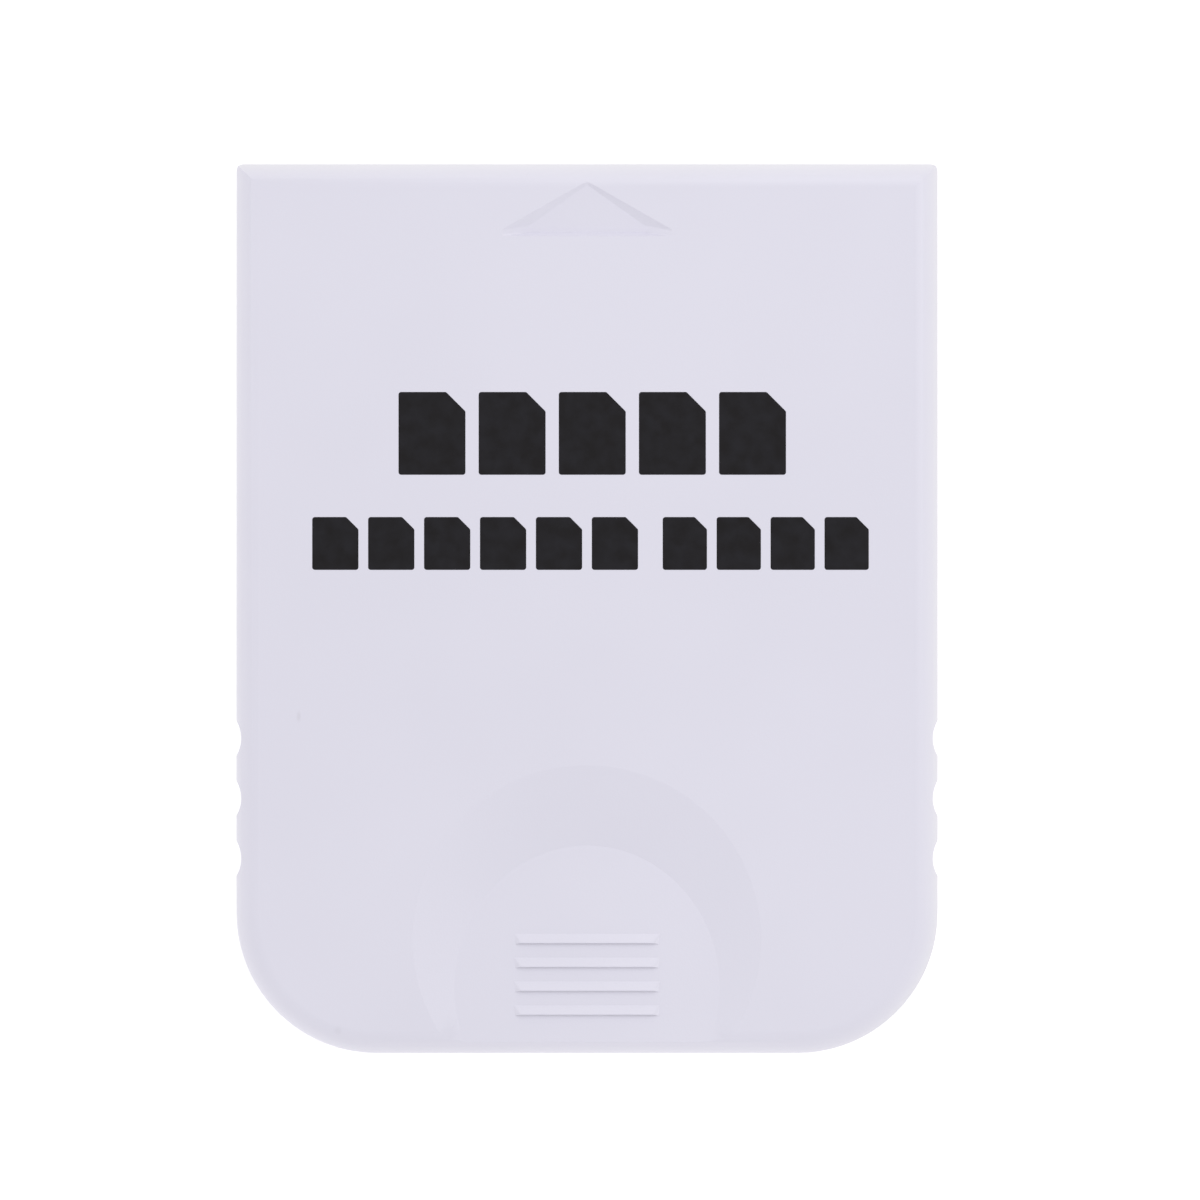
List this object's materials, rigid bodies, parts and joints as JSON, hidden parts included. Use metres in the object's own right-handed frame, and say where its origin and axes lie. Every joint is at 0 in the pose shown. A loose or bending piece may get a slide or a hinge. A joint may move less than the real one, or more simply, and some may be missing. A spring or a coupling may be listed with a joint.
{
  "type": "memory card",
  "caption": "Flat memory card with rounded hand-end corners, a thumb scoop with ridges, side grips, an insertion arrow and a contact mouth in its end wall.",
  "frame": {"origin": "middle of the rear face, on which the card lies", "axes": "+Z out of the front face, +Y towards the end that goes into the slot, +X across the card"},
  "size_m": [0.04, 0.0508, 0.0078],
  "materials": {
    "shell_plastic": "moulded, satin",
    "board_laminate": "green solder mask over glass laminate",
    "contact_gold": "gold plated",
    "screw_steel": "zinc plated",
    "tinned_metal": "tin plated, dull",
    "chip_epoxy": "moulded epoxy, matt",
    "capacitor_ceramic": "fired ceramic",
    "resistor_film": "glazed",
    "print_ink": "screen printed ink"
  },
  "bodies": {
    "root": {"front_shell": "shell_plastic", "rear_shell": "shell_plastic", "circuit_board": "board_laminate", "screw": "screw_steel", "memory_chip": "chip_epoxy", "memory_chip_leads": "tinned_metal", "controller_chip": "chip_epoxy", "controller_chip_leads": "tinned_metal", "regulator": "chip_epoxy", "regulator_leads": "tinned_metal", "contact_finger_1": "contact_gold", "contact_finger_2": "contact_gold", "contact_finger_3": "contact_gold", "contact_finger_4": "contact_gold", "contact_finger_5": "contact_gold", "contact_finger_6": "contact_gold", "contact_finger_7": "contact_gold", "contact_finger_8": "contact_gold", "contact_finger_9": "contact_gold", "contact_finger_10": "contact_gold", "contact_finger_11": "contact_gold", "contact_finger_12": "contact_gold", "capacitor_1": "capacitor_ceramic", "capacitor_2": "capacitor_ceramic", "capacitor_3": "capacitor_ceramic", "capacitor_4": "capacitor_ceramic", "capacitor_5": "capacitor_ceramic", "capacitor_6": "capacitor_ceramic", "capacitor_1_ends": "tinned_metal", "capacitor_2_ends": "tinned_metal", "capacitor_3_ends": "tinned_metal", "capacitor_4_ends": "tinned_metal", "capacitor_5_ends": "tinned_metal", "capacitor_6_ends": "tinned_metal", "resistor_1_ends": "tinned_metal", "resistor_2_ends": "tinned_metal", "resistor_3_ends": "tinned_metal", "resistor_4_ends": "tinned_metal", "resistor_1": "resistor_film", "resistor_2": "resistor_film", "resistor_3": "resistor_film", "resistor_4": "resistor_film"}
  },
  "joints": []
}
